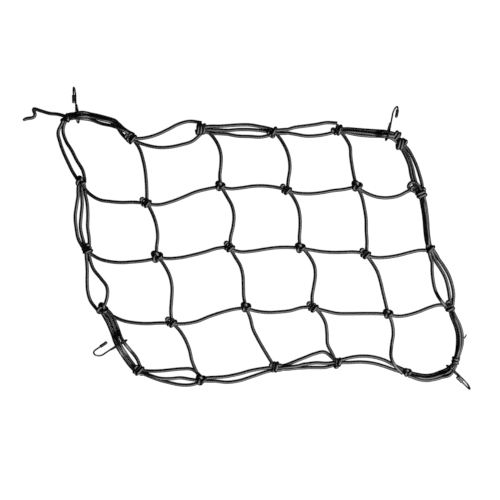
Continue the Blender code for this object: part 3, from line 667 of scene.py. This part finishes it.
@dataclass
class WireHook:
    """One hook: a wire bent into a closed eye, a shank and an open J, with a sleeve on its tip.

    It was bent by hand, so that no two are alike. The eye's far end is at x, y. The shank points
    in a direction and comes down from the bundle at a slope, and the tip and the eye lean to the
    left of it by some degrees.
    """

    name: str
    x: float
    y: float
    direction: float
    slope: float
    shank: float
    tip: float
    tip_lean: float
    eye_lean: float
    wire_diameter: float = 2.0
    leg_spacing: float = 13.0
    eye_curve: tuple = ((22.0, -2.1), (21.1, -5.2), (17.2, -7.6), (11.0, -9.6), (5.0, -11.3),
                        (1.5, -9.5), (0.0, -5.2), (1.2, -1.7), (5.0, 0.0))
    eye_steps: int = 16
    eye_under: int = 9
    sleeve_length: float = 10.5
    sleeve_radius: float = 1.9
    sleeve_beyond: float = 1.8
    sleeve_play: float = 0.06
    sleeve_waist: float = 0.10
    sleeve_lip: float = 0.35
    sleeve_sides: int = 32
    bend_steps: int = 7
    finer: int = 4
    wire_step: float = 0.6
    wire_sides: int = 16

    def axes(self) -> tuple[Vector, Vector, Vector]:
        """The unit vectors along the shank, to the left of it, and up from it."""
        turn, slope = math.radians(self.direction), math.radians(self.slope)
        level = Vector((math.cos(turn), math.sin(turn), 0))
        along = level * math.cos(slope) - Vector((0, 0, math.sin(slope)))
        left = Vector((-math.sin(turn), math.cos(turn), 0))
        return along, left, along.cross(left)

    def place(self, u: float, w: float) -> Vector:
        """A point of the hook's plane, with its far end at height zero."""
        along, left, up = self.axes()
        lean = math.radians(self.tip_lean if w > 0 else self.eye_lean)
        rise = up * math.cos(lean) + left * math.sin(lean)
        return Vector((self.x, self.y, 0)) + along * u + rise * w

    def route(self, finer: int = 1) -> list[Vector]:
        """The middle of the wire, from the end under the shank to the tip, with finer steps."""
        flat = list(smooth_route(self.eye_curve, self.eye_steps * finer))
        radius, steps = self.leg_spacing / 2, self.bend_steps * finer
        for i in range(steps + 1):
            turn = math.pi * i / steps
            flat.append(Vector((self.shank + radius * math.sin(turn),
                                radius * (1 - math.cos(turn)))))
        flat.append(Vector((self.shank - self.tip, self.leg_spacing)))
        route = [self.place(*point) for point in flat]
        drop = min(point.z for point in route) - self.wire_diameter / 2
        return [point - Vector((0, 0, drop)) for point in route]

    def under_side(self) -> list[tuple[float, float]]:
        """The lower side of the eye, as distance along the shank and height, in order."""
        along, _, _ = self.axes()
        level = Vector((along.x, along.y)).normalized()
        far_end = Vector((self.x, self.y))
        return sorted(((point.xy - far_end).dot(level), point.z)
                      for point in self.route()[:self.eye_under])

    def wire(self, sweep: SweepTree, finish: bpy.types.Material) -> bpy.types.Object:
        """The bent wire, which stands for its solid."""
        piece = sweep.swept(f"bent_wire_{self.name}", [Run(self.route(self.finer))],
                            self.wire_diameter, self.wire_step, self.wire_sides, finish)
        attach(piece, "root")
        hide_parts(f"hook_{self.name}")
        return piece

    def sleeve(self, finish: bpy.types.Material) -> bpy.types.Object:
        """The soft sleeve: a rounded blind end, a faint waist and a rolled mouth round the wire."""
        outer, length, lip = self.sleeve_radius, self.sleeve_length, self.sleeve_lip
        bore = self.wire_diameter / 2 + self.sleeve_play
        cap = [(outer * math.sin(a), outer * (1 - math.cos(a)) * 0.8)
               for a in (math.radians(9 * i) for i in range(11))]
        body = [(outer - self.sleeve_waist * math.sin(math.pi * t) ** 2, 1.6 + (length - 2.6) * t)
                for t in (i / 8 for i in range(1, 9))]
        mouth = [(outer - 0.25 + 0.30 * math.cos(a), length - lip + lip * math.sin(a))
                 for a in (math.radians(30 * i) for i in range(4))]
        bored = [(bore + 0.08, length - 0.02), (bore, length - 0.4), (bore, 2.4), (0.0, 2.2)]
        mesh = turned_mesh(f"tip_sleeve_{self.name}", cap + body + mouth + bored,
                           self.sleeve_sides)
        before, tip = self.route()[-2:]
        towards = (before - tip).normalized()
        start = (tip - towards * self.sleeve_beyond - CENTRE) * MM
        turn = towards.to_track_quat("Z", "Y").to_matrix().to_4x4()
        mesh.transform(Matrix.Translation(start) @ turn)
        mesh.materials.append(finish)
        piece = linked(mesh.name, mesh)
        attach(piece, "root")
        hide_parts(f"sleeve_{self.name}")
        return piece


def turned_mesh(name: str, outline: Sequence[tuple[float, float]], sides: int) -> bpy.types.Mesh:
    """A closed turned shape on +Z.

    Args:
        name: The mesh's name.
        outline: Radius and height of its outline in millimetres, from pole to pole.
        sides: How many sides it has.

    Returns:
        The mesh, smooth and facing out.
    """
    edit = bmesh.new()
    line = [edit.verts.new((radius * MM, 0, height * MM)) for radius, height in outline]
    edges = [edit.edges.new(pair) for pair in zip(line, line[1:])]
    bmesh.ops.spin(edit, geom=line + edges, axis=(0, 0, 1), cent=(0, 0, 0), angle=math.tau,
                   steps=sides, use_merge=True)
    bmesh.ops.remove_doubles(edit, verts=edit.verts, dist=1e-6)
    bmesh.ops.recalc_face_normals(edit, faces=edit.faces)
    mesh = bpy.data.meshes.new(name)
    edit.to_mesh(mesh)
    edit.free()
    mesh.shade_smooth()
    return mesh


@dataclass
class KnotWinder:
    """Works out how the cord runs in a knot: in turns, in a bight, or in an overhand knot."""

    cord: float = 4.1
    middle: float = 4.5
    turn_spacing: float = 3.6
    turn_steps: int = 32
    squareness: float = 0.8
    front_rise: float = 1.7
    back_rise: float = -0.3
    above_floor: float = 0.3
    bight_sweep: float = 250.0
    bight_drop: float = 2.4
    trefoil_rise: float = 2.2
    lobe_angle: float = -78.0

    def runs(self, knot: Knot) -> Iterator[Run]:
        """Every run of cord in a knot."""
        if knot.form is KnotForm.TREFOIL:
            yield self.laid(knot, self.trefoil(knot), True)
            return
        yield self.laid(knot, self.coil(knot))
        for bight in knot.bights:
            yield self.laid(knot, self.bight(bight))

    def laid(self, knot: Knot, points: list[Vector], closed: bool = False) -> Run:
        """Points along, across and above a knot's middle, laid on the floor at its place."""
        x, y = knot.aside
        place = Matrix.Translation((knot.x + x, knot.y + y, self.middle))
        place = place @ Matrix.Rotation(math.radians(knot.turn_angle), 4, "Z")
        return Run([place @ point for point in points], closed)

    def coil(self, knot: Knot) -> list[Vector]:
        """Close turns round the bundle; in a wound knot the front one stands over the others."""
        half = (knot.width - self.cord) / 2
        rise = self.middle - self.cord / 2 - self.above_floor
        steps = round(self.turn_steps * knot.turns)
        points = []
        for i in range(steps + 1):
            turn = math.tau * knot.turns * i / steps - math.pi / 2
            height = rise * rounded_wave(math.sin(turn), self.squareness)
            if height > 0 and knot.form is KnotForm.WOUND:
                height *= self.front_rise if i <= self.turn_steps else self.back_rise
            points.append(Vector((
                half * rounded_wave(math.cos(turn), self.squareness),
                knot.front + self.turn_spacing * (knot.turns * i / steps - 0.5),
                height,
            )))
        return points

    def bight(self, bight: Bight) -> list[Vector]:
        """A loop that stands out beside the turns, its two ends run down under them."""
        heading = math.atan2(bight.across, bight.along)
        points = []
        for i in range(self.turn_steps + 1):
            share = 2 * i / self.turn_steps - 1
            angle = heading + math.radians(self.bight_sweep / 2) * share
            points.append(Vector((
                bight.along + bight.radius * math.cos(angle),
                bight.across + bight.radius * math.sin(angle),
                bight.top - self.middle - self.bight_drop * share ** 2,
            )))
        return points

    def trefoil(self, knot: Knot) -> list[Vector]:
        """An overhand knot drawn up round the cords it ties, as a closed run."""
        size = (knot.width - self.cord) / 6
        steps = self.turn_steps * 3
        points = []
        for i in range(steps):
            turn = math.tau * i / steps
            x = size * (math.sin(turn) + 2 * math.sin(2 * turn))
            y = size * (math.cos(turn) - 2 * math.cos(2 * turn))
            points.append(Vector((x, y, self.trefoil_rise * math.sin(3 * turn))))
        lobes = Matrix.Rotation(math.radians(self.lobe_angle), 4, "Z")
        return [lobes @ point for point in points]


@dataclass
class CordNet:
    """The knotted cord: the mesh, the border bundle, every knot and the free ends."""

    hooks: Sequence[WireHook]
    sweep: SweepTree
    finish: bpy.types.Material
    cord: float = 4.2
    rest_height: float = 2.13
    side_by_side: float = 4.3
    gathered: float = 2.4
    gather_run: float = 14.0
    knot_reach: float = 12.4
    knot_entry: float = 3.2
    strand_start: float = 0.5
    strand_steps: int = 48
    eye_clearance: float = 0.6
    lift_reach: float = 11.0
    ring_step: float = 1.4
    knot_step: float = 0.8
    sides: int = 16
    tail_steps: int = 120
    loop_steps: int = 40
    cut_end_steps: int = 24
    winder: KnotWinder = field(default_factory=KnotWinder)

    def lift_at(self, flat: Vector) -> float:
        """How far the eye of a hook raises the strands that cross it at this place."""
        most = 0.0
        for hook in self.hooks:
            along, left, _ = hook.axes()
            off = flat - Vector((hook.x, hook.y))
            distance, aside = off.dot(along.xy.normalized()), off.dot(left.xy)
            side = hook.under_side()
            if side[0][0] - 4 < distance < side[-1][0] + 4 and abs(aside) < 3 * self.lift_reach:
                height = side[0][1] if distance < side[0][0] else side[-1][1]
                for (a, low), (b, high) in zip(side, side[1:]):
                    if a <= distance <= b and b > a:
                        height = low + (high - low) * (distance - a) / (b - a)
                lift = height + hook.wire_diameter / 2 + self.eye_clearance + self.cord / 2
                share = math.exp(-((aside / self.lift_reach) ** 4))
                most = max(most, (lift - self.rest_height) * share)
        return most

    def spread(self, offsets: list[float], heights: list[float], from_knot: float) -> list[float]:
        """Part the strands of a bundle that lie at one height, so that they don't cut."""
        closeness = max(0.0, 1 - from_knot / self.gather_run) ** 2
        least = self.side_by_side - (self.side_by_side - self.gathered) * closeness
        order = sorted(range(len(offsets)), key=lambda i: offsets[i])
        parted = list(offsets)
        for _ in range(6):
            for a, b in zip(order, order[1:]):
                apart = 2 * (heights[a] - heights[b]) / self.cord
                short = least * math.sqrt(max(0.0, 1 - apart ** 2)) - (parted[b] - parted[a])
                if short > 0:
                    parted[a] -= short / 2
                    parted[b] += short / 2
        return parted

    def bundle_runs(self, strands: list[Strand]) -> list[Run]:
        """The strands of a bundle, from inside one knot to inside the next.

        Args:
            strands: Every strand between the same two knots.

        Returns:
            A run for each of them, in their order.
        """
        start, end = KNOTS[strands[0].start], KNOTS[strands[0].end]
        chord = Vector((end.x - start.x, end.y - start.y))
        left = Vector((-chord.y, chord.x)).normalized()
        inset = self.strand_start / chord.length
        routes: list[list[Vector]] = [[] for _ in strands]
        for i in range(self.strand_steps + 1):
            place = inset + (1 - 2 * inset) * i / self.strand_steps
            from_knot = min(place, 1 - place) * chord.length
            lifts = [self.cord * max(0.0, smooth(s.lifts, place)) for s in strands]
            offsets = self.spread([smooth(s.bows, place) for s in strands], lifts, from_knot)
            climb = max(0.0, 1 - from_knot / self.knot_reach) ** 2
            for route, offset, lift in zip(routes, offsets, lifts):
                flat = Vector((start.x, start.y)) + chord * place + left * offset
                height = self.rest_height + self.lift_at(flat) + lift
                height += climb * max(0.0, self.knot_entry - height)
                route.append(Vector((flat.x, flat.y, height)))
        return [Run(route) for route in routes]

    def strand_runs(self, strands: Sequence[Strand]) -> list[Run]:
        """The runs of these strands, bundle by bundle."""
        bundles: dict[tuple[str, str], list[Strand]] = {}
        for strand in strands:
            bundles.setdefault((strand.start, strand.end), []).append(strand)
        return [run for bundle in bundles.values() for run in self.bundle_runs(bundle)]

    def knot_runs(self, on_border: bool) -> list[Run]:
        """The runs of the knots on the border, or of those inside it."""
        inside = {f"{row}{column}" for row in "BCD" for column in "1234"}
        return [run for name, knot in KNOTS.items() if (name not in inside) is on_border
                for run in self.winder.runs(knot)]

    def loose_runs(self) -> list[Run]:
        """The tail, sealed at its tip, the loop at the border's right, and a thin cut end."""
        sealed = (1.0,) * 24 + (0.95, 0.55)
        thinned = (0.5, 0.5, 0.42, 0.3)
        runs = [Run(smooth_route(TAIL, self.tail_steps), shares=sealed)]
        runs += [Run(smooth_route(points, self.loop_steps)) for points in (LOOP_OVER, LOOP_UNDER)]
        return runs + [Run(smooth_route(CUT_END, self.cut_end_steps), shares=thinned)]

    def build(self) -> list[bpy.types.Object]:
        """Build every piece of cord.

        Returns:
            The pieces, which stand for the net's solid together.
        """
        strand, knot = (self.cord, self.ring_step), (self.winder.cord, self.knot_step)
        plan = (
            (Piece.MESH_CORDS, self.strand_runs(COLUMN_STRANDS + ROW_STRANDS), strand),
            (Piece.BORDER_CORDS, self.strand_runs(BORDER_STRANDS), strand),
            (Piece.MESH_KNOTS, self.knot_runs(False), knot),
            (Piece.BORDER_KNOTS, self.knot_runs(True), knot),
            (Piece.LOOSE_ENDS, self.loose_runs(), strand),
        )
        made = []
        for piece_name, runs, (diameter, step) in plan:
            piece = self.sweep.swept(piece_name.value, runs, diameter, step, self.sides,
                                     self.finish)
            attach(piece, "root")
            made.append(piece)
        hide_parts("net")
        return made


@dataclass
class Light:
    """A soft box: where it hangs, how wide and deep it is, and how bright its face is."""

    name: str
    place: tuple[float, float, float]
    width: float
    depth: float
    brightness: float


@dataclass
class Studio:
    """The floor, the lights and the camera that looks straight down on the net."""

    aim: tuple[float, float, float] = (4.44 * MM, -13.84 * MM, 4.0 * MM)
    camera_height: float = 1.633
    lens: float = 100.0
    sensor: float = 36.0
    clip_end: float = 20.0
    floor_width: float = 8.0
    sky: float = 0.012
    lights: tuple[Light, ...] = (
        Light("big_softbox", (0.80, -0.80, 1.08), 3.6, 1.5, 6.8),
    )

    def floor(self) -> bpy.types.Object:
        """The pale floor that the net lies on."""
        edit = bmesh.new()
        bmesh.ops.create_grid(edit, x_segments=1, y_segments=1, size=self.floor_width / 2)
        mesh = bpy.data.meshes.new("floor")
        edit.to_mesh(mesh)
        edit.free()
        mesh.materials.append(BrightFloor().material())
        made = linked("floor", mesh)
        made.visible_glossy = False
        return made

    def light(self, light: Light) -> bpy.types.Object:
        """One soft light, turned to the middle of the net."""
        data = bpy.data.lights.new(light.name, "AREA")
        data.shape = "RECTANGLE"
        data.size, data.size_y = light.width, light.depth
        data.energy = light.brightness * math.pi * light.width * light.depth
        made = linked(light.name, data)
        made.location = Vector(light.place)
        made.rotation_euler = (-made.location).to_track_quat("-Z", "Y").to_euler()
        return made

    def camera(self) -> bpy.types.Object:
        """The camera, overhead, with the net's far side at the top of its view."""
        data = bpy.data.cameras.new("overhead")
        data.lens, data.sensor_width = self.lens, self.sensor
        data.clip_end = self.clip_end
        made = linked("overhead", data)
        made.location = Vector(self.aim) + Vector((0, 0, self.camera_height))
        bpy.context.scene.camera = made
        return made

    def build(self) -> None:
        """Set the stage, with a dim even sky and the Standard view."""
        self.camera()
        self.floor()
        for light in self.lights:
            self.light(light)
        world = bpy.data.worlds.new("sky")
        world.use_nodes = True
        world.node_tree.nodes["Background"].inputs["Strength"].default_value = self.sky
        world.node_tree.nodes["Background"].inputs["Color"].default_value = (1, 1, 1, 1)
        scene = bpy.context.scene
        scene.world = world
        scene.view_settings.view_transform = "Standard"


HOOKS = (
    WireHook("upper_left", -198.8, 138.7, 94.7, 24.0, 32.7, 15.8, 3.2, 8.0),
    WireHook("upper_right", 165.4, 118.0, 76.9, 24.5, 32.4, 9.2, -16.0, -8.0),
    WireHook("lower_left", -143.5, -119.2, 214.0, 23.0, 33.2, 17.1, -47.1, -9.0),
    WireHook("lower_right", 238.3, -149.8, -43.3, 28.0, 29.4, 21.0, -16.8, 9.0),
)


def report(piece: bpy.types.Object) -> None:
    """Log a piece's name and how many faces it has."""
    LOG.info("%s: %d faces", piece.name, len(piece.data.polygons))


def main() -> None:
    """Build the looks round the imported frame."""
    logging.basicConfig(level=logging.INFO, format="%(name)s: %(message)s")
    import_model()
    Studio().build()
    sweep = SweepTree()
    for piece in CordNet(HOOKS, sweep, BraidedSheath().material()).build():
        report(piece)
    steel, plastic = DarkenedWire().material(), DippedPlastic().material()
    for hook in HOOKS:
        report(hook.wire(sweep, steel))
        report(hook.sleeve(plastic))


if __name__ == "__main__":
    main()
